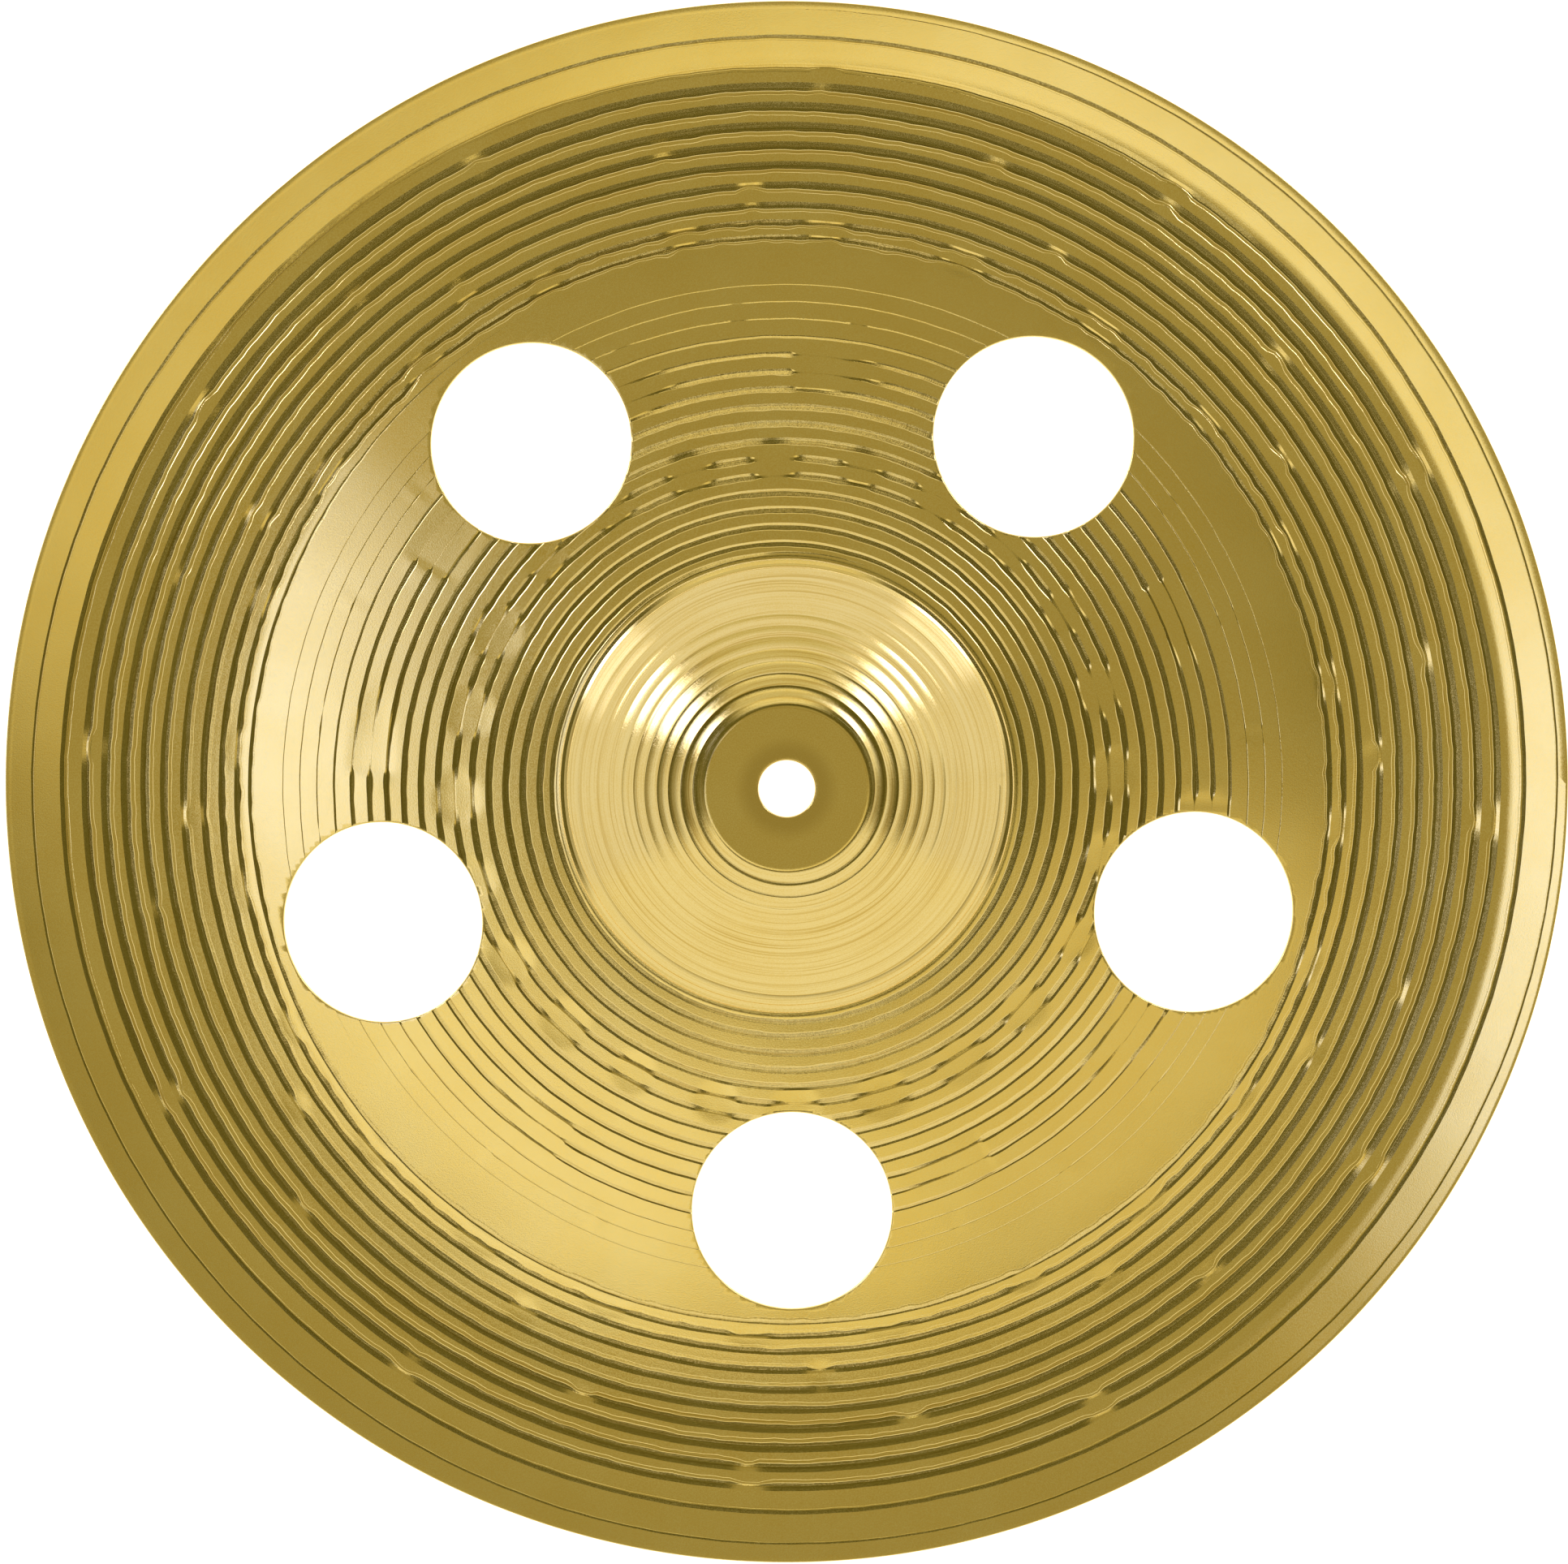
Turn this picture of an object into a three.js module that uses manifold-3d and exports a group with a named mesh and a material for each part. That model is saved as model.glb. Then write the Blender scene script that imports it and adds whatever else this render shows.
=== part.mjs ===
// A 14 inch trash crash cymbal: one disc of brass sheet, spun to shape, hammered and lathed, with a mounting hole
// through the crown of its bell and five large vents through its bow. Millimetres, +Z up, bell upwards.
// The origin is on the axis, on the plane that the cymbal rests on.
import * as THREE from "three";
import { mergeVertices } from "three/addons/utils/BufferGeometryUtils.js";
import Module from "manifold-3d";

// Driving dimensions
const SHEET_THICKNESS = 1.0;
const MOUNTING_HOLE_RADIUS = 6.35; // half an inch across
const VENT_RADIUS = 22.8;
const VENT_PITCH_RADIUS = 97.1; // from the axis to each vent's centre
const VENT_COUNT = 5;
const FIRST_VENT_ANGLE = -90; // degrees about +Z from +X: the first vent lies towards -Y
const LATHE_FACETS = 72;
const VENT_FACETS = 40;
const PUNCH_LENGTH = 40; // well past both faces
const SAME_POINT = 1e-4; // vertices closer than this are one

// The top face from the mounting hole outwards. Each stretch runs to the radius `to`, where the face falls outwards
// by `fall` degrees, and its slope changes evenly on the way, which makes it an arc. `steps` is its facet count.
const SECTION = [
  { to: 17.8, fall: 0, steps: 1 }, // flat crown of the bell
  { to: 19.0, fall: 15, steps: 1 }, // shoulder of the crown
  { to: 39.0, fall: 28, steps: 3 }, // upper side of the bell
  { to: 49.0, fall: 38, steps: 2 }, // lower side of the bell
  { to: 53.0, fall: 4, steps: 2 }, // fillet into the bow
  { to: VENT_PITCH_RADIUS, fall: 5.5, steps: 2 }, // inner bow
  { to: 122.8, fall: 6.2, steps: 1 }, // outer bow
  { to: 124.3, fall: 4.2, steps: 1 }, // fold
  { to: 163.5, fall: -3.6, steps: 4 }, // upturned flange
  { to: 165.0, fall: -11.5, steps: 1 }, // crease of the rim
  { to: 177.8, fall: -12.5, steps: 1 }, // rim band
];

const radians = THREE.MathUtils.degToRad;

// Points of the top face in the section plane, as { radius, height, fall }, with the crown at height 0.
function topFace() {
  const points = [{ radius: MOUNTING_HOLE_RADIUS, height: 0, fall: 0 }];
  for (const stretch of SECTION) {
    const start = points.at(-1);
    const width = stretch.to - start.radius;
    for (let step = 1; step <= stretch.steps; step++) {
      const share = step / stretch.steps;
      const fall = THREE.MathUtils.lerp(start.fall, stretch.fall, share);
      const meanFall = (start.fall + fall) / 2;
      points.push({
        radius: start.radius + width * share,
        height: start.height - width * share * Math.tan(radians(meanFall)),
        fall,
      });
    }
  }
  return points;
}

// The same points moved through the sheet, square to the top face. The hole and the rim are cut straight down.
function undersideOf(top) {
  const moved = top.map(({ radius, height, fall }) => {
    const slope = radians(fall);
    return {
      radius: radius - SHEET_THICKNESS * Math.sin(slope),
      height: height - SHEET_THICKNESS * Math.cos(slope),
    };
  });
  moved.at(-1).radius = top.at(-1).radius;
  return moved;
}

// A closed geometry as a manifold-3d solid.
function solidFrom(wasm, geometry) {
  const bare = geometry.clone().deleteAttribute("normal").deleteAttribute("uv");
  const merged = mergeVertices(bare, SAME_POINT);
  return new wasm.Manifold(
    new wasm.Mesh({
      numProp: 3,
      vertProperties: new Float32Array(merged.attributes.position.array),
      triVerts: new Uint32Array(merged.index.array),
    }),
  );
}

// A manifold-3d solid as a geometry.
function geometryFrom(solid) {
  const mesh = solid.getMesh();
  const geometry = new THREE.BufferGeometry();
  geometry.setAttribute("position", new THREE.BufferAttribute(mesh.vertProperties, 3));
  geometry.setIndex(new THREE.BufferAttribute(mesh.triVerts, 1));
  geometry.computeVertexNormals();
  return geometry;
}

// The whole disc without its vents, resting on height 0.
function discGeometry(top, restHeight) {
  const underside = undersideOf(top);
  const outline = [...top].reverse().concat(underside).map(
    ({ radius, height }) => new THREE.Vector2(radius, height - restHeight),
  );
  outline.push(outline[0].clone());
  return new THREE.LatheGeometry(outline, LATHE_FACETS).rotateX(Math.PI / 2);
}

// A punch for the vent at this angle about the axis, square to the bow at its centre.
function ventPunch(angle, height, fall) {
  const punch = new THREE.CylinderGeometry(VENT_RADIUS, VENT_RADIUS, PUNCH_LENGTH, VENT_FACETS);
  return punch
    .rotateX(Math.PI / 2)
    .rotateY(radians(fall))
    .translate(VENT_PITCH_RADIUS, 0, height)
    .rotateZ(radians(angle));
}

async function cymbalGeometry() {
  const wasm = await Module();
  wasm.setup();
  const top = topFace();
  const restHeight = Math.min(...undersideOf(top).map(({ height }) => height));
  const ventCentre = top.find(({ radius }) => Math.abs(radius - VENT_PITCH_RADIUS) < SAME_POINT);
  let disc = solidFrom(wasm, discGeometry(top, restHeight));
  for (let vent = 0; vent < VENT_COUNT; vent++) {
    const angle = FIRST_VENT_ANGLE + (360 / VENT_COUNT) * vent;
    const height = ventCentre.height - restHeight;
    disc = disc.subtract(solidFrom(wasm, ventPunch(angle, height, ventCentre.fall)));
  }
  return geometryFrom(disc);
}

const brass = new THREE.MeshStandardMaterial({
  name: "brass",
  color: 0xd9b34c,
  roughness: 0.25,
  metalness: 1.0,
});

const cymbal = new THREE.Mesh(await cymbalGeometry(), brass);
cymbal.name = "cymbal";

const part = new THREE.Group();
part.add(cymbal);

export default part;
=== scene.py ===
"""A trash crash cymbal: one sheet of brass, hammered, then turned on a lathe.

The lathe's tool runs outwards in a spiral. The sheet is one closed mesh. Its top and its underside are
grids of columns, which run out from the mounting hole, and rows, which follow the lathe's grooves round
the sheet. A spiral row ends one turn further out than it began, so the last column joins the first with
the rows shifted. The vents are cut from the grid and get their own rounded edges.

Lengths in the shape sections are millimetres, and the mesh is made in metres at the end.
"""

import math
from collections import namedtuple

import bpy
import numpy as np
from mathutils import Euler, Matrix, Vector


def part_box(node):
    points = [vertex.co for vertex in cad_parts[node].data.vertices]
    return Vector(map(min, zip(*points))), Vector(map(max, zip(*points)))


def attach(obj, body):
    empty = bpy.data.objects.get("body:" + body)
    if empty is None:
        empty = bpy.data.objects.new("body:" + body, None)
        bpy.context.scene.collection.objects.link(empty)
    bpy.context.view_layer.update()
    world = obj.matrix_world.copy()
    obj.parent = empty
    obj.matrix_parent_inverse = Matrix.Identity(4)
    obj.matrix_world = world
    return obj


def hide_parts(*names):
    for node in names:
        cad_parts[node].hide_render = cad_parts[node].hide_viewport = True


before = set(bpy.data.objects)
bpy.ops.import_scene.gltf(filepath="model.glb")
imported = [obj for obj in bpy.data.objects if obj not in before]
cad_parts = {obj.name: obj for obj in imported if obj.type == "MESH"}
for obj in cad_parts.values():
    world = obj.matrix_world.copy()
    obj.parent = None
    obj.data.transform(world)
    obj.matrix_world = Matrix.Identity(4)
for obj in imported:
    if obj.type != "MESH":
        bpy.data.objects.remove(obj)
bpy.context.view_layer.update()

MM = 0.001
low_corner, high_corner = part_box("cymbal")
RIM_RADIUS = (high_corner.x - low_corner.x) / 2 / MM

# --------------------------------------------------------------------------------------------------
# The sheet's section, out to the rim's radius read from the CAD model

SHEET = 1.0  # thickness
HOLE_RADIUS = 6.35
VENT_RADIUS = 22.8
VENT_PITCH_RADIUS = 97.1
VENT_ANGLES = [math.radians(-90 + 72 * vent) for vent in range(5)]

# Radius, and by how many degrees the top face falls outwards there. In between, the slope changes evenly.
SLOPES = [
    (0.0, 0.0),
    (17.8, 0.0),
    (19.0, 15.0),
    (39.0, 28.0),
    (49.0, 38.0),
    (53.0, 4.0),
    (97.1, 5.5),
    (122.8, 6.2),
    (124.3, 4.2),
    (163.5, -3.6),
    (165.0, -11.5),
    (177.8, -12.5),
]
SECTION_STEP = 0.01
section_radius = np.arange(0.0, RIM_RADIUS + SECTION_STEP / 2, SECTION_STEP)
section_fall = np.radians(np.interp(section_radius, *zip(*SLOPES)))
step_fall = (section_fall[1:] + section_fall[:-1]) / 2
section_top = -np.concatenate([[0.0], np.cumsum(np.tan(step_fall) * SECTION_STEP)])
under_radius = section_radius - SHEET * np.sin(section_fall)
under_height = section_top - SHEET * np.cos(section_fall)
section_top -= under_height.min()
under_height -= under_height.min()


def top_height(radius):
    """The height of the smooth top face."""
    return np.interp(radius, section_radius, section_top)


def underside_height(radius):
    """The height of the smooth underside."""
    return np.interp(radius, under_radius, under_height)


def fall_at(radius):
    """The outward slope in radians."""
    return np.interp(radius, section_radius, section_fall)


# --------------------------------------------------------------------------------------------------
# Unevenness: a hammered, hand-turned sheet

random = np.random.default_rng(7)
TAU = 2 * math.pi
WAVE_RATIO = 1.7  # how much longer each wave of a wobble is than the one before


def wobble(finest, size, layers=5):
    """Smooth noise, as a function of a place along a line: a sum of waves, the shortest `finest` long."""
    waves = []
    for layer in range(layers):
        length = finest * WAVE_RATIO**layer
        waves.append((length, random.uniform(0, TAU), random.uniform(0.6, 1.0)))

    def noise(position):
        total = sum(np.sin(position * TAU / length + phase) * height for length, phase, height in waves)
        return total * size / math.sqrt(layers)

    return noise


# Rings of hammer marks: radius, count, angle of the first in degrees, how far each reaches along the
# radius, how far it reaches round the ring before and after its deepest point, and depth. A negative
# depth is metal pushed up.
HAMMER_RINGS = [
    (74.0, 24, 1.8, 5.6, 7.4, 6.0, 0.21),
    (95.0, 12, 27.2, 7.0, 24.0, 1.6, 0.15),
    (95.0, 12, 28.8, 6.0, 1.6, 4.0, -0.05),
    (107.0, 24, 5.6, 4.0, 3.0, 0.9, 0.035),
    (107.0, 24, 6.5, 4.0, 0.9, 2.0, -0.035),
    (126.0, 24, 10.3, 3.2, 6.0, 6.0, 0.10),
    (134.8, 12, 2.6, 3.4, 3.6, 3.6, 0.16),
    (147.7, 12, 10.6, 3.0, 3.4, 3.4, 0.13),
    (156.8, 12, 26.1, 2.6, 3.0, 3.0, 0.14),
    (161.2, 12, 26.1, 2.6, 4.6, 4.6, 0.14),
]
LAND_SHARE = 0.3  # how much of a mark's depth shows in the face between the grooves


def hammer_marks():
    """Every mark, as a ring's numbers without its count. None is quite in its place."""
    marks = []
    for radius, count, first, reach, before, after, depth in HAMMER_RINGS:
        for index in range(count):
            angle = math.radians(first + 360 / count * index + random.normal(0, 0.25))
            size = random.uniform(0.85, 1.15)
            place = radius + random.normal(0, 0.35)
            deepest = depth * random.uniform(0.75, 1.2)
            marks.append((place, angle, reach * size, before * size, after * size, deepest))
    return marks


MARKS = hammer_marks()

# Long, shallow waves all over the sheet, which begin round the bell: length, direction and phase.
DENT_WAVES = [(random.uniform(18, 45), random.uniform(0, TAU), random.uniform(0, TAU)) for _ in range(24)]
DENT_WAVE_HEIGHT = 0.010
DENTS_BEGIN = 20.0
DENTS_FULL = 50.0


def hammered(radius, angle):
    """How deep the hammer marks are."""
    sunk = np.zeros_like(radius + angle)
    for place, mark_angle, reach, before, after, depth in MARKS:
        along = (radius - place) / reach
        turn = ((angle - mark_angle + math.pi) % TAU - math.pi) * place
        across = turn / np.where(turn < 0, before, after)
        inside = np.clip(1 - along**2 - across**2, 0, None)
        sunk += depth * inside**2 * (3 - 2 * inside)
    return sunk


def uneven(radius, angle):
    """How far the whole face is pushed down between the grooves."""
    x = radius * np.cos(angle)
    y = radius * np.sin(angle)
    waves = np.zeros_like(x)
    for length, direction, phase in DENT_WAVES:
        waves += np.sin((x * math.cos(direction) + y * math.sin(direction)) * TAU / length + phase)
    begun = np.clip((radius - DENTS_BEGIN) / (DENTS_FULL - DENTS_BEGIN), 0, 1)
    waves *= DENT_WAVE_HEIGHT / math.sqrt(len(DENT_WAVES)) * begun
    return waves + LAND_SHARE * hammered(radius, angle)


# --------------------------------------------------------------------------------------------------
# Rows of the grid

COLUMNS = 600
column_angles = np.arange(COLUMNS) * TAU / COLUMNS
turn_share = column_angles / TAU


class Rows:
    """Rows in order outwards. Each has its radius and its depth below the smooth face at every column.

    `cut` is how strongly the lathe's tool has marked it, from 0 to 1, and `sharp` says it is a crease.
    Each row has a name, and says which row it runs into after one turn.
    """

    def __init__(self):
        self.radius = []
        self.drop = []
        self.cut = []
        self.sharp = []
        self.names = []
        self.runs_into = []

    def add(self, name, radius, drop=0.0, cut=0.0, sharp=False):
        self.radius.append(np.broadcast_to(radius, COLUMNS).astype(float))
        self.drop.append(np.broadcast_to(drop, COLUMNS).astype(float))
        self.cut.append(np.broadcast_to(cut, COLUMNS).astype(float))
        self.sharp.append(sharp)
        spiral, turn, part = name
        self.names.append(name)
        self.runs_into.append(name if spiral == "ring" else (spiral, turn + 1, part))

    def add_ring(self, radius, drop=0.0, sharp=False):
        """A row that closes on itself."""
        self.add(("ring", len(self.names), 0), radius, drop, sharp=sharp)

    def add_between(self, spiral, turn, radius, count):
        """Plain rows, evenly spread between the last row and this radius."""
        start = self.radius[-1]
        for step in range(1, count + 1):
            self.add((spiral, turn, -step), start + (radius - start) * step / (count + 1))

    def joints(self):
        """Pairs of rows that meet where the last column joins the first."""
        place = {name: index for index, name in enumerate(self.names)}
        return [(index, place[name]) for index, name in enumerate(self.runs_into) if name in place]


# The sections of the grooves from the inner edge to the outer one: share of the width, depth as a share
# of the width, and how far that place moves for each degree of the face's slope, because the tool is held
# at one angle. The bow's groove has a short step, a gentle slope down and a wall up to its outer edge.
# The flange's has a shelf and a second step before the slope.
BOW_GROOVE = [(0.0, 0.0, 0.0), (0.10, 0.040, 0.0), (0.675, 0.121, 0.0), (1.0, 0.0, 0.0)]
FLANGE_GROOVE = [
    (0.0, 0.0, 0.0),
    (0.05, 0.0245, 0.0),
    (0.28, 0.0265, 0.0),
    (0.333, 0.058, 0.0),
    (0.626, 0.102, 0.0245),
    (1.0, 0.0, 0.0),
]
LEAST_WIDTH = 0.03
UNCUT_WIDTH = 0.1  # a groove narrower than half of this is left uncut
MARK_EFFECT = 0.8  # how much of a hammer mark's depth is missing from a groove
LEFT_LIMITS = (0.06, 1.7)  # the least and the most that a mark leaves of a groove
NARROWING = 0.85  # the power of what a mark leaves that gives the width
LEAN_LIMIT = 6  # degrees of slope, beyond which the section leans no further
STEEP_SLOPES = (-8, -4)  # past the crease of the rim the tool cuts half as deep
STEEP_DEPTHS = (0.5, 1.0)
width_wobble = wobble(6.0, 0.07)
path_wobble = wobble(11.0, 0.06)


def add_grooves(rows, spiral, path, width_at, turns, section, held, land_rows):
    """A spiral groove. path(turn) is its outer edge's radius, and width_at(turn) its width.

    A hammer mark leaves less for the tool to cut, so the groove narrows there, towards the place that is
    the share `held` of its width from the inner edge.
    """
    deepest = max(depth for share, depth, lean in section)
    for number in turns:
        turn = number + turn_share
        along = turn * TAU * path(turn)
        edge = path(turn) + path_wobble(along)
        full = width_at(turn) * (1 + width_wobble(along))
        missing = MARK_EFFECT * hammered(edge - full / 2, column_angles)
        left = np.clip(1 - missing / np.maximum(full * deepest, 1e-4), *LEFT_LIMITS)
        width = np.maximum(full * left**NARROWING, LEAST_WIDTH)
        inner = edge - full + (full - width) * held
        opened = np.clip(width / UNCUT_WIDTH - 0.5, 0, 1)
        rows.add_between(spiral, number, inner, land_rows)
        slope = np.degrees(fall_at(edge))
        depth = width * np.minimum(left, 1.0) * opened * np.interp(slope, STEEP_SLOPES, STEEP_DEPTHS)
        for part, (share, deep, lean) in enumerate(section):
            in_cut = opened * (0 < share < 1)
            place = inner + width * (share + lean * np.clip(slope, -LEAN_LIMIT, LEAN_LIMIT))
            rows.add((spiral, number, part), place, depth * deep, in_cut, sharp=True)


HOLLOW_POWER = 2.4  # how flat the floor of a scallop is
SCALLOP_CUT = 0.4  # a round nose leaves less chatter than a groove's corner


def add_scallops(rows, spiral, path, depth_at, turns, shares=(0.0, 0.08, 0.28, 0.5, 0.72, 0.92)):
    """Overlapping cuts of a round-nosed tool, with a ridge at every whole turn."""
    for number in turns:
        turn = number + turn_share
        start = path(turn)
        pitch = path(turn + 1) - start
        depth = depth_at(turn)
        for part, share in enumerate(shares):
            drop = depth * (1 - abs(2 * share - 1) ** HOLLOW_POWER)
            rows.add((spiral, number, part), start + pitch * share, drop, SCALLOP_CUT, sharp=share == 0)


def fade(turn, start, end, soft=0.12):
    """1 between start and end, falling to 0 over `soft` turns outside them."""
    return np.clip((turn - start) / soft + 1, 0, 1) * np.clip((end - turn) / soft + 1, 0, 1)


# The bell is turned at an even pitch along its slope. The tool enters at the edge of the crown, and its
# last cuts crowd together above the foot.
BELL_PITCH = 2.87
BELL_TURNS = 13
BELL_ENTRY = 0.3  # turns
BELL_DEPTHS = [(0.3, 0.0), (0.6, 0.095), (6.5, 0.085), (9, 0.055), (12.4, 0.045), (12.7, 0.0)]
CROWN_EDGE = 17.75
BELL_START = CROWN_EDGE + 0.1
CROWDED_FROM = 49.2
CROWDING = 0.85
slope_length = np.cumsum(SECTION_STEP / np.cos(section_fall))
bell_chatter = wobble(25.0, 0.10)  # along hundredths of a turn


def bell_path(turn):
    start = np.interp(BELL_START, section_radius, slope_length)
    entered = start + np.clip(turn - BELL_ENTRY, 0, None) * BELL_PITCH
    radius = np.interp(entered, slope_length, section_radius)
    radius -= CROWDING * np.clip(radius - CROWDED_FROM, 0, None)
    lead_in = np.minimum(turn, BELL_ENTRY) * 0.02  # keeps the rows apart until the tool is in
    return radius + lead_in + bell_chatter(turn * 100) * np.clip(turn - 2 * BELL_ENTRY, 0, 1)


def bell_depth(turn):
    return np.interp(turn, *zip(*BELL_DEPTHS))


# A ledge runs round the foot of the bell between two short steps, above the fillet: radius and drop.
BELL_FOOT = [(49.6, 0.0), (49.8, 0.075), (50.5, -0.045), (51.3, -0.16), (51.6, 0.046), (52.1, 0.0)]

# The bow's spiral starts in the fillet below the bell and dies away before the fold.
BOW_ENTRY = 52.7
BOW_START = 54.9
BOW_PITCH = 3.87
BOW_TURNS = 16
BOW_ENDS = (-0.7, 15.5)
# Turns, and the groove's width after them.
BOW_WIDTHS = [
    (-1, 0.8),
    (0, 1.6),
    (1, 1.8),
    (5, 1.85),
    (8, 1.6),
    (10, 1.45),
    (12, 0.95),
    (12.8, 0.32),
    (15.4, 0.2),
]


def bow_path(turn):
    return np.interp(turn, [-1, 0, BOW_TURNS], [BOW_ENTRY, BOW_START, BOW_START + BOW_PITCH * BOW_TURNS])


def bow_width(turn):
    return np.interp(turn, *zip(*BOW_WIDTHS)) * fade(turn, *BOW_ENDS)


# The flange's spiral starts at the fold, and the tool speeds up as it runs out over the rim.
FLANGE_TURNS = 12
FLANGE_ENDS = (-0.55, 11.15)
# The radii of the groove's outer edge at each whole turn, from turn -1 on.
FLANGE_EDGES = [121.2, 124.4, 127.7, 131.5, 136.1, 140.7, 145.3]
FLANGE_EDGES += [149.7, 154.2, 158.7, 162.9, 168.5, 175.6, 177.0]
# Turns, and the groove's width after them.
FLANGE_WIDTHS = [
    (-0.6, 1.2),
    (0.0, 1.8),
    (1.0, 2.1),
    (3.0, 2.5),
    (5.0, 2.7),
    (6.5, 3.3),
    (8.0, 3.0),
    (8.9, 2.5),
    (9.6, 1.8),
    (10.0, 1.6),
    (10.5, 0.8),
    (11.2, 0.6),
]
# The first turns outside the fold are torn: their width is uneven by a share of it, which fades out.
TORN_TURNS = (1.2, 2.2)
TORN_SHARES = (0.16, 0.0)
chatter = wobble(2.3, 1.0)  # along degrees


def flange_path(turn):
    return np.interp(turn, np.arange(-1, len(FLANGE_EDGES) - 1), FLANGE_EDGES)


def flange_width(turn):
    torn = np.interp(turn, TORN_TURNS, TORN_SHARES)
    width = np.interp(turn, *zip(*FLANGE_WIDTHS)) * (1 + torn * chatter(turn * 360))
    return width * fade(turn, *FLANGE_ENDS)


# --------------------------------------------------------------------------------------------------
# The two faces of the sheet

EDGE_ROUND = 0.32  # radius of the rounded edges of the rim, the vents and the hole
EDGE_STEPS = 4


def rounded(to_wall):
    """A rounded edge's points as distance from the wall and drop, towards the wall or away from it."""
    angles = [step / EDGE_STEPS * math.pi / 2 for step in range(EDGE_STEPS + 1)]
    points = [(EDGE_ROUND * (1 - math.sin(a)), EDGE_ROUND * (1 - math.cos(a))) for a in angles]
    return points if to_wall else points[::-1]


CROWN_ROWS = (7.6, 9.0, 11.0, 13.5, 16.0, 17.3)
UNDER_CROWN_ROWS = (9.0, 13.0, 17.0)
Face = namedtuple("Face", "radius heights cut sharp joints")


def finish_face(rows, height, sunk):
    """The rows of a face as arrays."""
    radius = np.array(rows.radius)
    assert (np.diff(radius, axis=0) > 0).all(), "rows cross"
    angle = np.broadcast_to(column_angles, radius.shape)
    heights = height(radius) + sunk(radius, angle) + np.array(rows.drop)
    return Face(radius, heights, np.array(rows.cut), rows.sharp, rows.joints())


def top_face():
    rows = Rows()
    for inset, drop in rounded(to_wall=False):
        rows.add_ring(HOLE_RADIUS + inset, drop)
    for radius in CROWN_ROWS:
        rows.add_ring(radius)
    rows.add(("ring", -1, 0), CROWN_EDGE, sharp=True)
    add_scallops(rows, "bell", bell_path, bell_depth, range(-1, BELL_TURNS - 1))
    rows.add(("bell", BELL_TURNS - 1, 0), bell_path(BELL_TURNS - 1 + turn_share), sharp=True)
    for radius, drop in BELL_FOOT:
        rows.add_ring(radius, drop, sharp=True)
    bow_turns = range(-1, BOW_TURNS)
    flange_turns = range(-1, FLANGE_TURNS)
    add_grooves(rows, "bow", bow_path, bow_width, bow_turns, BOW_GROOVE, 0.5, land_rows=2)
    add_grooves(rows, "flange", flange_path, flange_width, flange_turns, FLANGE_GROOVE, 0.95, land_rows=3)
    for inset, drop in rounded(to_wall=True):
        rows.add_ring(RIM_RADIUS - inset, drop)
    rows.drop = [-drop for drop in rows.drop]
    return finish_face(rows, top_height, lambda radius, angle: -uneven(radius, angle))


# The underside is turned from the crown to the rim in one pass, and shows no hammer marks.
UNDERSIDE_TURNS = 36
UNDERSIDE_START = 20.0
UNDERSIDE_PITCH = 4.3
UNDERSIDE_DEPTH = 0.045
UNDERSIDE_ENDS = (0.3, 35.2)
UNDERSIDE_SHARES = (0.0, 0.25, 0.6)


def underside_path(turn):
    return UNDERSIDE_START + UNDERSIDE_PITCH * turn


def underside_depth(turn):
    return UNDERSIDE_DEPTH * fade(turn, *UNDERSIDE_ENDS)


def underside_face():
    rows = Rows()
    for inset, drop in rounded(to_wall=False):
        rows.add_ring(HOLE_RADIUS + inset, drop)
    for radius in UNDER_CROWN_ROWS:
        rows.add_ring(radius)
    turns = range(UNDERSIDE_TURNS)
    add_scallops(rows, "back", underside_path, underside_depth, turns, UNDERSIDE_SHARES)
    for inset, drop in rounded(to_wall=True):
        rows.add_ring(RIM_RADIUS - inset, drop)
    return finish_face(rows, underside_height, lambda radius, angle: np.zeros_like(radius))


# --------------------------------------------------------------------------------------------------
# Mesh


class SheetMesh:
    """Collects vertices and faces of the whole sheet."""

    def __init__(self):
        self.points = []
        self.cuts = []
        self.faces = []
        self.sharp_edges = []
        self.count = 0

    def add_points(self, xyz, cut):
        first = self.count
        self.points.append(np.asarray(xyz, float).reshape(-1, 3))
        self.cuts.append(np.broadcast_to(cut, len(self.points[-1])).astype(float))
        self.count += len(self.points[-1])
        return np.arange(first, self.count)

    def positions(self, ids):
        return np.concatenate(self.points)[ids]


def zip_rows(left, right, left_place, right_place):
    """Triangles between two lines of vertices, always stepping along the one that lags."""
    triangles = []
    a = b = 0
    while a < len(left) - 1 or b < len(right) - 1:
        step_left = b == len(right) - 1 or (a < len(left) - 1 and left_place[a + 1] <= right_place[b + 1])
        if step_left:
            triangles.append((left[a], left[a + 1], right[b]))
            a += 1
        else:
            triangles.append((left[a], right[b + 1], right[b]))
            b += 1
    return triangles


def join_columns(ids, face):
    """The faces between the last column and the first, row by row where the rows meet."""
    faces = []
    for (left, right), (left_next, right_next) in zip(face.joints, face.joints[1:]):
        if left_next == left + 1 and right_next == right + 1:
            faces.append((ids[left, -1], ids[left_next, -1], ids[right_next, 0], ids[right, 0]))
            continue
        rows_left = slice(left, left_next + 1)
        rows_right = slice(right, right_next + 1)
        places = face.radius[rows_left, -1], face.radius[rows_right, 0]
        faces.extend(zip_rows(ids[rows_left, -1], ids[rows_right, 0], *places))
    return faces


VENT_TILT = fall_at(VENT_PITCH_RADIUS)


def vent_plan(x, y, angle, pitch_radius):
    """A point of the plan seen along a vent's axis, from the vent's centre: outwards and sideways."""
    outwards = (x * math.cos(angle) + y * math.sin(angle) - pitch_radius) / math.cos(VENT_TILT)
    sideways = -x * math.sin(angle) + y * math.cos(angle)
    return outwards, sideways


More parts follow.
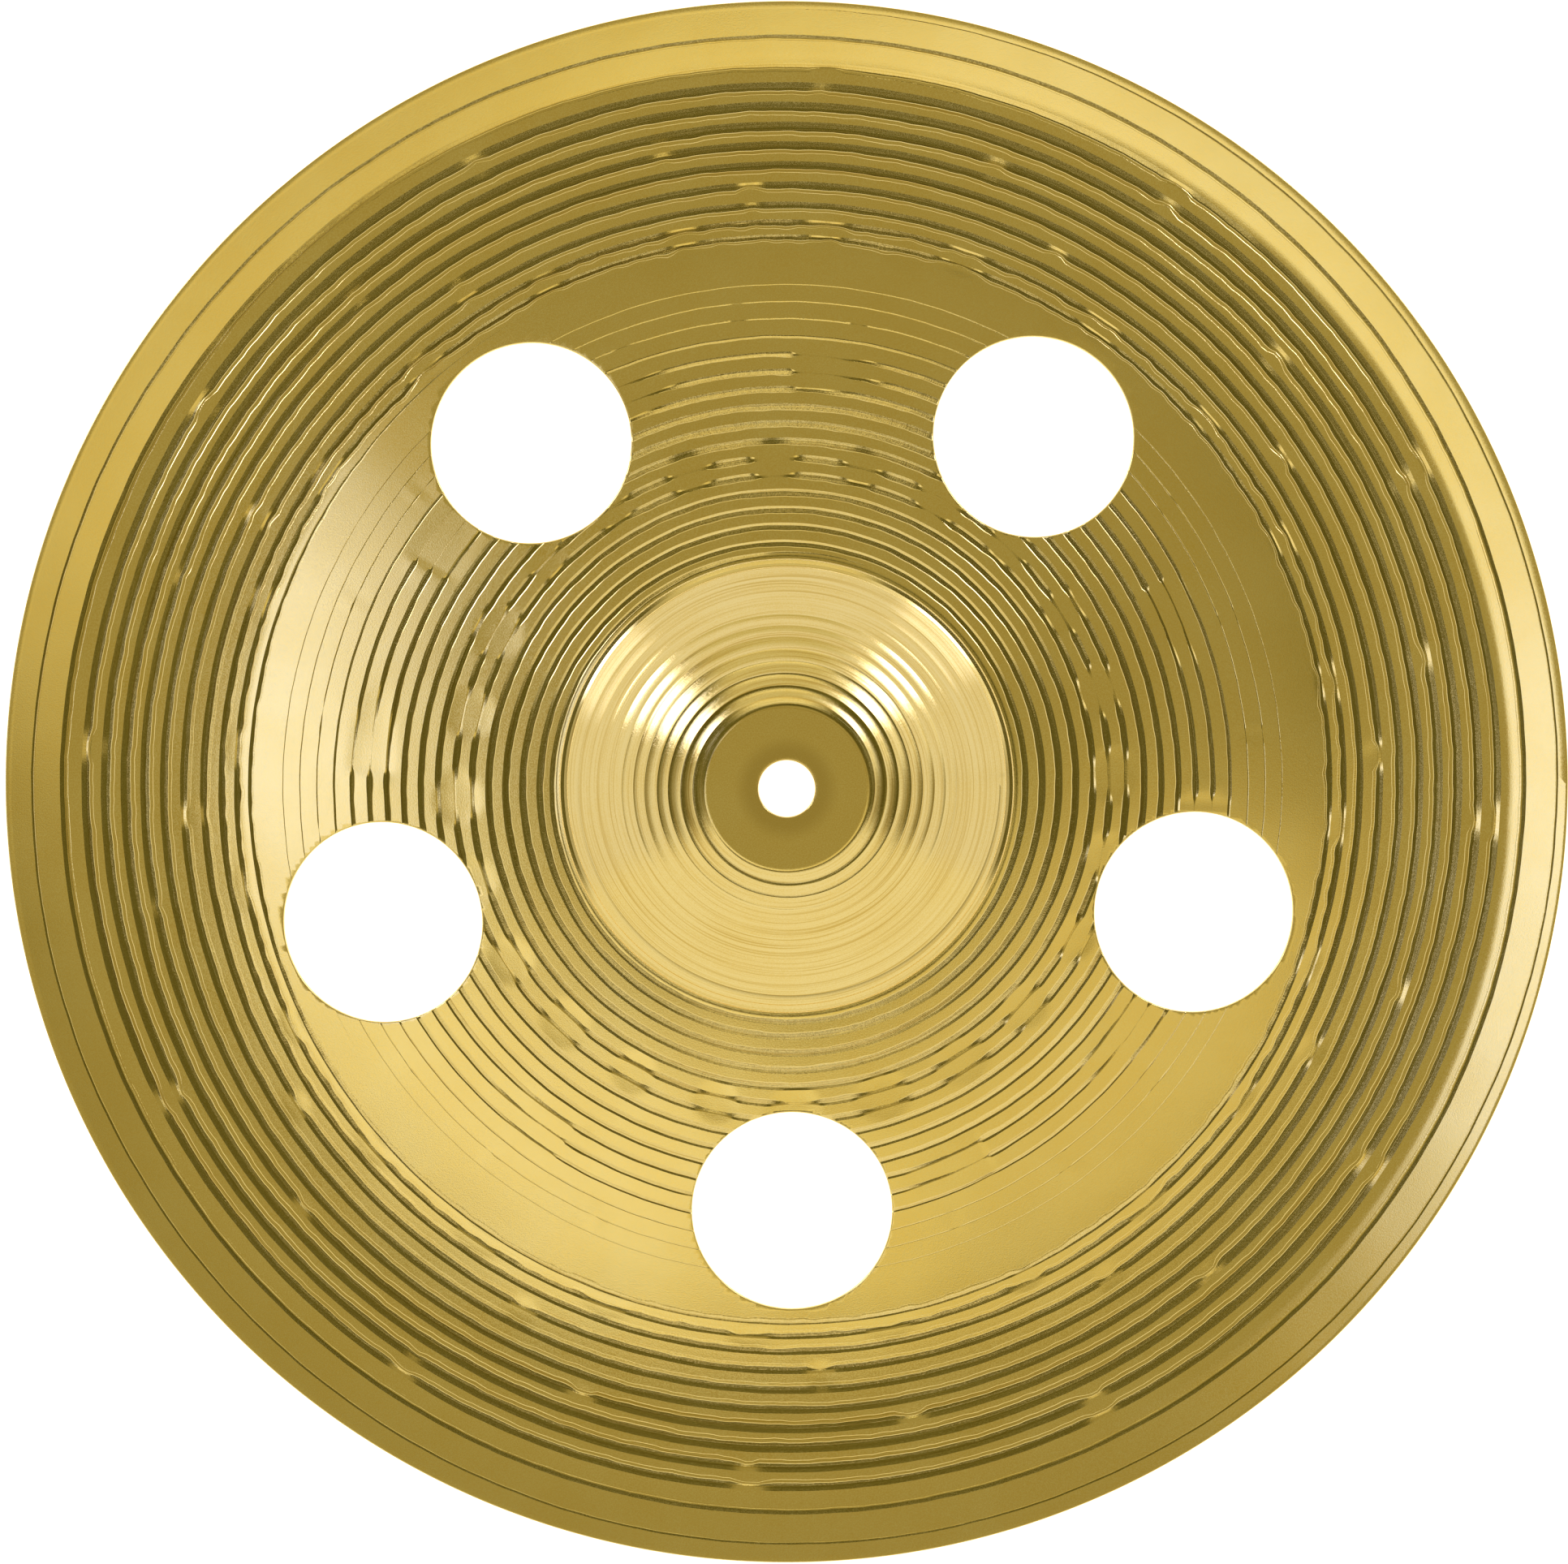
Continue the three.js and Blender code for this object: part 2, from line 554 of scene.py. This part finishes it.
def vent_point(outwards, sideways, angle, pitch_radius):
    """The other way round: the place in the plan."""
    along = pitch_radius + outwards * math.cos(VENT_TILT)
    x = along * math.cos(angle) - sideways * math.sin(angle)
    y = along * math.sin(angle) + sideways * math.cos(angle)
    return x, y


def crossing_share(start, end, radius):
    """How far along a line from start to end it crosses the circle of this radius about the origin."""
    along = end - start
    a = along @ along
    b = start @ along
    c = start @ start - radius**2
    root = math.sqrt(b * b - a * c)
    shares = ((-b - root) / a, (-b + root) / a)
    return next(share for share in shares if 0 <= share <= 1)


def cut_vent(mesh, quads, base, points, plan, inside, sharp):
    """Cuts grid faces along a vent's circle.

    Returns the new ring of vertices, in the order the faces run along it, and which end a sharp edge.
    """
    crossings = {}
    following = {}
    sharp_ends = set()

    def crossing(a, b):
        key = (min(a, b), max(a, b))
        if key not in crossings:
            share = crossing_share(plan[key[0]], plan[key[1]], VENT_RADIUS + EDGE_ROUND)
            point = points[key[0]] * (1 - share) + points[key[1]] * share
            crossings[key] = int(mesh.add_points(point, 0.0)[0])
            row = key[0] // COLUMNS
            if sharp[row] and key[1] // COLUMNS == row:
                sharp_ends.add(crossings[key])
                mesh.sharp_edges.append([[crossings[key], base + (b if inside[a] else a)]])
        return crossings[key]

    for corners in (quads - base).tolist():
        polygon = []
        for a, b in zip(corners, corners[1:] + corners[:1]):
            if not inside[a]:
                polygon.append(a + base)
            if inside[a] and not inside[b]:
                enters = crossing(a, b)
                polygon.append(enters)
            elif inside[b] and not inside[a]:
                leaves = crossing(a, b)
                polygon.append(leaves)
        following[leaves] = enters
        mesh.faces.append(tuple(polygon))
    ring = [leaves]
    while following[ring[-1]] != leaves:
        ring.append(following[ring[-1]])
    assert len(ring) == len(following), "a vent's edge is not one loop"
    return np.array(ring), np.array([vertex in sharp_ends for vertex in ring])


def add_face(mesh, face, pitch_radius, upwards):
    """One face of the sheet, cut at the vents. Returns its first and last row, and each vent's ring."""
    x = face.radius * np.cos(column_angles)
    y = face.radius * np.sin(column_angles)
    points = np.stack([x, y, face.heights], axis=-1).reshape(-1, 3)
    ids = mesh.add_points(points, face.cut.reshape(-1)).reshape(x.shape)
    quads = np.stack([ids[:-1, :-1], ids[1:, :-1], ids[1:, 1:], ids[:-1, 1:]], axis=-1).reshape(-1, 4)
    seam = join_columns(ids, face)
    if not upwards:
        quads = quads[:, ::-1]
        seam = [corners[::-1] for corners in seam]
    mesh.faces.extend(seam)
    base = int(ids[0, 0])
    rings = []
    for angle in VENT_ANGLES:
        plan = np.stack(vent_plan(points[:, 0], points[:, 1], angle, pitch_radius), axis=-1)
        inside = np.hypot(plan[:, 0], plan[:, 1]) < VENT_RADIUS + EDGE_ROUND
        lost = inside[quads - base].sum(axis=1)
        crossed = quads[(lost > 0) & (lost < 4)]
        rings.append(cut_vent(mesh, crossed, base, points, plan, inside, face.sharp))
        quads = quads[lost == 0]
    mesh.faces.extend(map(tuple, quads.tolist()))
    for row in np.flatnonzero(face.sharp):
        mesh.sharp_edges.append(np.stack([ids[row, :-1], ids[row, 1:]], axis=-1))
    for left, right in face.joints:
        if face.sharp[left]:
            mesh.sharp_edges.append([[ids[left, -1], ids[right, 0]]])
    return ids[0], ids[-1], rings


def bridge(mesh, lower, upper):
    """A closed band of quads from one ring to another."""
    after = np.roll(np.arange(len(lower)), -1)
    band = np.stack([lower, lower[after], upper[after], upper], axis=-1)
    mesh.faces.extend(map(tuple, band.tolist()))


def round_vent_edge(mesh, ring, creased, angle, pitch_radius, height, inwards):
    """Rounds a vent's edge on one face. Returns the last ring, and each vertex's turn about the vent."""
    start = mesh.positions(ring)
    outwards, sideways = vent_plan(start[:, 0], start[:, 1], angle, pitch_radius)
    smooth = height(np.hypot(start[:, 0], start[:, 1]))
    for inset, drop in rounded(to_wall=True)[1:]:
        share = (VENT_RADIUS + inset) / (VENT_RADIUS + EDGE_ROUND)
        x, y = vent_point(outwards * share, sideways * share, angle, pitch_radius)
        z = start[:, 2] + height(np.hypot(x, y)) - smooth + inwards * drop
        after = mesh.add_points(np.stack([x, y, z], axis=-1), 0.0)
        bridge(mesh, after, ring)
        mesh.sharp_edges.append(np.stack([ring[creased], after[creased]], axis=-1))
        ring = after
    return ring, np.arctan2(sideways, outwards)


def add_vent_wall(mesh, upper, lower):
    """The wall of a vent, between two rings whose vertices don't match."""
    lines = []
    for ring, turn in (upper, lower):
        order = np.argsort(turn)
        closed = np.append(order, order[0])
        places = turn[closed]
        places[-1] += TAU
        lines.append((ring[closed], places))
    (upper_ids, upper_places), (lower_ids, lower_places) = lines
    mesh.faces.extend(zip_rows(upper_ids, lower_ids, upper_places, lower_places))


def build_cymbal():
    mesh = SheetMesh()
    under_pitch_radius = VENT_PITCH_RADIUS - SHEET * math.sin(VENT_TILT)
    top_in, top_out, top_rings = add_face(mesh, top_face(), VENT_PITCH_RADIUS, upwards=True)
    under_in, under_out, under_rings = add_face(mesh, underside_face(), under_pitch_radius, upwards=False)
    bridge(mesh, under_out, top_out)
    bridge(mesh, top_in, under_in)
    for angle, top_ring, under_ring in zip(VENT_ANGLES, top_rings, under_rings):
        upper = round_vent_edge(mesh, *top_ring, angle, VENT_PITCH_RADIUS, top_height, -1)
        lower = round_vent_edge(mesh, *under_ring, angle, under_pitch_radius, underside_height, 1)
        add_vent_wall(mesh, upper, lower)
    return mesh


def object_from(mesh, name):
    """A Blender object from the collected mesh, in metres, smooth but for the edges of the cuts."""
    points = np.concatenate(mesh.points) * MM
    used = np.zeros(len(points), bool)
    lengths = np.array([len(face) for face in mesh.faces])
    corners = np.fromiter((i for face in mesh.faces for i in face), np.int64, lengths.sum())
    used[corners] = True
    renumber = np.cumsum(used) - 1
    data = bpy.data.meshes.new(name)
    data.vertices.add(int(used.sum()))
    data.vertices.foreach_set("co", points[used].astype(np.float32).ravel())
    data.loops.add(len(corners))
    data.loops.foreach_set("vertex_index", renumber[corners].astype(np.int32))
    data.polygons.add(len(lengths))
    starts = np.concatenate([[0], np.cumsum(lengths)[:-1]])
    data.polygons.foreach_set("loop_start", starts.astype(np.int32))
    data.update(calc_edges=True)
    data.polygons.foreach_set("use_smooth", np.ones(len(lengths), bool))
    cut = data.attributes.new("cut", "FLOAT", "POINT")
    cut.data.foreach_set("value", np.concatenate(mesh.cuts)[used].astype(np.float32))
    mark_sharp(data, np.concatenate(mesh.sharp_edges), used, renumber)
    data.validate()
    piece = bpy.data.objects.new(name, data)
    bpy.context.scene.collection.objects.link(piece)
    return piece


def mark_sharp(data, wanted, used, renumber):
    """Marks the edges of the grooves sharp, so that their light stays crisp."""
    wanted = wanted[used[wanted].all(axis=1)]
    wanted = np.sort(renumber[wanted], axis=1)
    edges = np.empty(len(data.edges) * 2, np.int32)
    data.edges.foreach_get("vertices", edges)
    edges = np.sort(edges.reshape(-1, 2), axis=1).astype(np.int64)
    scale = len(data.vertices)
    flags = np.isin(edges[:, 0] * scale + edges[:, 1], wanted[:, 0] * scale + wanted[:, 1])
    sharp = data.attributes.new("sharp_edge", "BOOLEAN", "EDGE")
    sharp.data.foreach_set("value", flags)


# --------------------------------------------------------------------------------------------------
# Node helpers


class Nodes:
    """Short names for the shader nodes used here."""

    def __init__(self, tree):
        self.tree = tree

    def put(self, socket, value):
        if isinstance(value, bpy.types.NodeSocket):
            self.tree.links.new(value, socket)
        else:
            socket.default_value = value

    def math(self, operation, *values):
        node = self.tree.nodes.new("ShaderNodeMath")
        node.operation = operation
        for socket, value in zip(node.inputs, values):
            self.put(socket, value)
        return node.outputs[0]

    def ramp(self, value, low, high, to_low=0.0, to_high=1.0):
        node = self.tree.nodes.new("ShaderNodeMapRange")
        node.interpolation_type = "SMOOTHSTEP"
        self.put(node.inputs["Value"], value)
        self.put(node.inputs["From Min"], low)
        self.put(node.inputs["From Max"], high)
        self.put(node.inputs["To Min"], to_low)
        self.put(node.inputs["To Max"], to_high)
        return node.outputs[0]

    def mix(self, share, first, second):
        """Mixes colours."""
        node = self.tree.nodes.new("ShaderNodeMix")
        node.data_type = "RGBA"
        self.put(node.inputs["Factor"], share)
        self.put(node.inputs["A"], first)
        self.put(node.inputs["B"], second)
        return node.outputs["Result"]

    def blend(self, share, first, second):
        """Mixes numbers."""
        node = self.tree.nodes.new("ShaderNodeMix")
        self.put(node.inputs["Factor"], share)
        self.put(node.inputs["A"], first)
        self.put(node.inputs["B"], second)
        return node.outputs["Result"]

    def bump(self, height, distance, normal=None):
        node = self.tree.nodes.new("ShaderNodeBump")
        node.inputs["Distance"].default_value = distance
        self.put(node.inputs["Height"], height)
        if normal is not None:
            self.put(node.inputs["Normal"], normal)
        return node.outputs[0]

    def polar(self, east, north, radius, scales):
        """Noise coordinates that run on round the sheet without a seam."""
        round_scale, radius_scale = scales
        return self.combine(
            self.math("MULTIPLY", east, round_scale),
            self.math("MULTIPLY", north, round_scale),
            self.math("MULTIPLY", radius, radius_scale),
        )

    def noise(self, vector, scale, detail, roughness):
        node = self.tree.nodes.new("ShaderNodeTexNoise")
        self.put(node.inputs["Vector"], vector)
        node.inputs["Scale"].default_value = scale
        node.inputs["Detail"].default_value = detail
        node.inputs["Roughness"].default_value = roughness
        return node.outputs["Fac"]

    def combine(self, x, y, z):
        node = self.tree.nodes.new("ShaderNodeCombineXYZ")
        for socket, value in zip(node.inputs, (x, y, z)):
            self.put(socket, value)
        return node.outputs[0]

    def separate(self, vector):
        node = self.tree.nodes.new("ShaderNodeSeparateXYZ")
        self.put(node.inputs[0], vector)
        return node.outputs


# --------------------------------------------------------------------------------------------------
# Brass

BRASS = (0.86, 0.65, 0.235, 1.0)
BRASS_PALE = (0.92, 0.75, 0.36, 1.0)
BRASS_DEEP = (0.70, 0.50, 0.155, 1.0)
# The colour of the painted reflection that darkens the middle of the crown.
BRASS_PAINTED_DARK_REFLECTION = (0.60, 0.44, 0.15, 1.0)

GRAIN_SCALE = 3200
CLOUD_SCALE = 60
# How fine the marks of the tool are round the sheet, and how many there are in a millimetre of its radius.
LINE_SCALES = (0.8, 8.0)
STREAK_SCALES = (0.6, 2.6)
CHATTER_SCALES = (400.0, 0.9)
# Bump heights in metres.
GRAIN_BUMP = 0.000006
LINE_BUMP = 0.000005
CHATTER_BUMP = 0.000016
LAND_ROUGHNESS = (0.10, 0.16)
CUT_ROUGHNESS = (0.06, 0.14)
BELL_POLISH = 0.75  # of the roughness of the other cuts
BELL_EDGE = (50.0, 52.0)
# Where the painted dark reflection in the middle of the crown fades out, and how strong it is.
PAINTED_REFLECTION_EDGE = (8.0, 12.5)
PAINTED_REFLECTION_STRENGTH = 0.55


def brass():
    material = bpy.data.materials.new("brass")
    material.use_nodes = True
    tree = material.node_tree
    n = Nodes(tree)
    shader = tree.nodes["Principled BSDF"]
    place = tree.nodes.new("ShaderNodeTexCoord").outputs["Object"]
    x, y, _ = n.separate(place)
    squares = n.math("ADD", n.math("MULTIPLY", x, x), n.math("MULTIPLY", y, y))
    radius = n.math("MULTIPLY", n.math("SQRT", squares), 1 / MM)
    cut_node = tree.nodes.new("ShaderNodeAttribute")
    cut_node.attribute_name = "cut"
    cut = n.math("MINIMUM", cut_node.outputs["Fac"], 1.0)

    grain = n.noise(place, GRAIN_SCALE, 2.0, 0.6)
    clouds = n.noise(place, CLOUD_SCALE, 3.0, 0.55)
    unit = n.math("DIVIDE", 1 / MM, n.math("MAXIMUM", radius, 1.0))
    east = n.math("MULTIPLY", x, unit)
    north = n.math("MULTIPLY", y, unit)
    # Fine lines left by the tool run round the sheet, and the marks of its chatter cross the grooves.
    lines = n.noise(n.polar(east, north, radius, LINE_SCALES), 1.0, 3.0, 0.6)
    streaks = n.noise(n.polar(east, north, radius, STREAK_SCALES), 1.0, 3.0, 0.7)
    chatter_marks = n.noise(n.polar(east, north, radius, CHATTER_SCALES), 1.0, 2.0, 0.6)
    bell = n.ramp(radius, *BELL_EDGE, 1.0, 0.0)
    bell = n.math("MULTIPLY", bell, n.ramp(radius, CROWN_EDGE, CROWN_EDGE + 0.5))
    turned = n.math("MAXIMUM", cut, bell)

    tone = n.math("ADD", n.ramp(clouds, 0.35, 0.7, 0.0, 0.3), n.ramp(grain, 0.35, 0.65, 0.0, 0.7))
    colour = n.mix(tone, BRASS, BRASS_PALE)
    colour = n.mix(n.math("MULTIPLY", n.ramp(streaks, 0.5, 0.68), bell), colour, BRASS_PALE)
    colour = n.mix(n.math("MULTIPLY", n.ramp(streaks, 0.5, 0.32), turned), colour, BRASS_DEEP)
    # Painted reflection: the middle of the crown is painted darker, standing in for the dark reflection of
    # what lies straight above it.
    colour = n.mix(n.ramp(radius, *PAINTED_REFLECTION_EDGE, PAINTED_REFLECTION_STRENGTH, 0.0), colour, BRASS_PAINTED_DARK_REFLECTION)
    n.put(shader.inputs["Base Color"], colour)
    shader.inputs["Metallic"].default_value = 1.0
    land_roughness = n.ramp(grain, 0.3, 0.7, *LAND_ROUGHNESS)
    cut_roughness = n.ramp(lines, 0.3, 0.7, *CUT_ROUGHNESS)
    cut_roughness = n.math("MULTIPLY", cut_roughness, n.blend(bell, 1.0, BELL_POLISH))
    n.put(shader.inputs["Roughness"], n.blend(turned, land_roughness, cut_roughness))

    grain_bump = n.bump(n.math("MULTIPLY", grain, n.math("SUBTRACT", 1.0, turned)), GRAIN_BUMP)
    line_bump = n.bump(n.math("MULTIPLY", lines, n.blend(turned, 0.25, 1.0)), LINE_BUMP, grain_bump)
    chatter_bump = n.bump(n.math("MULTIPLY", chatter_marks, cut), CHATTER_BUMP, line_bump)
    n.put(shader.inputs["Normal"], chatter_bump)
    return material


# --------------------------------------------------------------------------------------------------
# Studio

# The soft lights and dark cards that the metal reflects. DIM is the colour straight above, and each patch
# lies over those before it. Angles are degrees.
DIM = (0.38, 0.33, 0.132)
DARK = (0.11, 0.10, 0.022)
PATCHES = [
    # azimuth, half width, softness of the sides, from and to from straight up, softness of those, colour
    # A dark card all round the camera, and the room beyond it.
    (180, 180, 1, 19.0, 180, 2.0, DARK),
    (180, 180, 1, 34.0, 180, 4.0, (0.36, 0.32, 0.17)),
    (45, 38, 18, 34.5, 180, 4.0, (1.00, 0.97, 0.82)),
    # Soft lights along the inner edge of the card. The bow and the rim reflect them.
    (318, 28, 26, 12.0, 21.0, 3.0, (0.79, 0.69, 0.34)),
    (270, 22, 25, 14.0, 21.0, 5.0, (0.95, 0.84, 0.42)),
    (217, 45, 22, 13.5, 21.0, 5.0, (1.10, 1.04, 0.76)),
    (153, 21, 20, 14.5, 20.0, 4.0, (0.56, 0.48, 0.20)),
    (175, 23, 24, 14.5, 20.0, 4.0, (1.32, 1.40, 1.85)),
    # The walls, brighter to the front and the back.
    (180, 180, 1, 44.0, 180, 6.0, (0.85, 0.81, 0.68)),
    (270, 62, 10, 28.5, 180, 2.0, (0.91, 0.86, 0.65)),
    (95, 30, 14, 27.5, 50, 3.0, (0.66, 0.60, 0.35)),
    (92, 26, 14, 27.5, 33, 2.0, (0.96, 0.88, 0.54)),
    # Two lamps, the glow below each, and the dark at the foot of the walls. The bell reflects them.
    (42, 9.5, 8, 35.0, 51, 3.0, (4.2, 4.3, 5.5)),
    (147, 9.5, 8, 35.0, 54, 3.0, (4.2, 4.3, 5.5)),
    (42, 13, 9, 70.0, 82, 4.0, (1.3, 1.3, 1.4)),
    (147, 13, 9, 70.0, 82, 4.0, (1.3, 1.3, 1.4)),
    (180, 180, 1, 82.0, 180, 6.0, (0.42, 0.38, 0.24)),
]
BACKDROP = (1.0, 1.0, 1.0, 1.0)
DEGREES = 180 / math.pi


def studio_world():
    world = bpy.data.worlds.new("studio")
    bpy.context.scene.world = world
    world.use_nodes = True
    tree = world.node_tree
    tree.nodes.clear()
    n = Nodes(tree)
    direction = tree.nodes.new("ShaderNodeTexCoord").outputs["Generated"]
    x, y, z = n.separate(direction)
    height = n.math("MINIMUM", n.math("MAXIMUM", z, -1.0), 1.0)
    from_up = n.math("MULTIPLY", n.math("ARCCOSINE", height), DEGREES)
    azimuth = n.math("MULTIPLY", n.math("ARCTAN2", y, x), DEGREES)
    colour = (*DIM, 1.0)
    for centre, half, side_soft, start, end, soft, patch in PATCHES:
        turn = n.math("SUBTRACT", azimuth, centre)
        turn = n.math("ABSOLUTE", n.math("WRAP", turn, 180.0, -180.0))
        share = n.ramp(turn, half - side_soft / 2, half + side_soft / 2, 1.0, 0.0)
        share = n.math("MULTIPLY", share, n.ramp(from_up, start - soft / 2, start + soft / 2))
        share = n.math("MULTIPLY", share, n.ramp(from_up, end - soft / 2, end + soft / 2, 1.0, 0.0))
        colour = n.mix(share, colour, (*patch, 1.0))
    path = tree.nodes.new("ShaderNodeLightPath")
    shown = n.mix(path.outputs["Is Camera Ray"], colour, BACKDROP)
    background = tree.nodes.new("ShaderNodeBackground")
    n.put(background.inputs["Color"], shown)
    output = tree.nodes.new("ShaderNodeOutputWorld")
    tree.links.new(background.outputs[0], output.inputs["Surface"])


FLOOR_REACH = 6.0
FLOOR_HEIGHT = -0.0002  # just clear of the cymbal


def floor():
    data = bpy.data.meshes.new("floor")
    sides = ((-1, -1), (1, -1), (1, 1), (-1, 1))
    corners = [(x * FLOOR_REACH, y * FLOOR_REACH, FLOOR_HEIGHT) for x, y in sides]
    data.from_pydata(corners, [], [(0, 1, 2, 3)])
    plane = bpy.data.objects.new("floor", data)
    bpy.context.scene.collection.objects.link(plane)
    material = bpy.data.materials.new("floor_white")
    material.use_nodes = True
    shader = material.node_tree.nodes["Principled BSDF"]
    shader.inputs["Base Color"].default_value = (0.85, 0.85, 0.85, 1.0)
    shader.inputs["Roughness"].default_value = 0.9
    shader.inputs["Emission Color"].default_value = (1.0, 1.0, 1.0, 1.0)
    shader.inputs["Emission Strength"].default_value = 0.85
    data.materials.append(material)


# --------------------------------------------------------------------------------------------------
# Camera: above the cymbal, a little towards +Y of its axis

CAMERA_DISTANCE = 1.3
CAMERA_AIM = (-0.0006, 0.0008)  # metres from the axis
CAMERA_TILT = math.radians(2.0)
CAMERA_ROLL = math.radians(-0.72)
DISC_SHARE = 0.9968  # of the image's width, from rim to rim


def camera():
    data = bpy.data.cameras.new("camera")
    eye = bpy.data.objects.new("camera", data)
    bpy.context.scene.collection.objects.link(eye)
    aim = Vector((*CAMERA_AIM, top_height(RIM_RADIUS) * MM))
    turn = Euler((-CAMERA_TILT, 0.0, CAMERA_ROLL))
    eye.location = aim + turn.to_matrix() @ Vector((0.0, 0.0, CAMERA_DISTANCE))
    eye.rotation_euler = turn
    field = 2 * RIM_RADIUS * MM / DISC_SHARE
    data.sensor_width = 36.0
    data.lens = data.sensor_width * CAMERA_DISTANCE / field
    data.clip_start = 0.01
    data.clip_end = 50.0
    bpy.context.scene.camera = eye


# --------------------------------------------------------------------------------------------------
# The scene

camera()
floor()
studio_world()
bpy.context.scene.view_settings.view_transform = "Standard"

sheet = object_from(build_cymbal(), "cymbal_sheet")
sheet.data.materials.append(brass())
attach(sheet, "root")
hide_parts("cymbal")
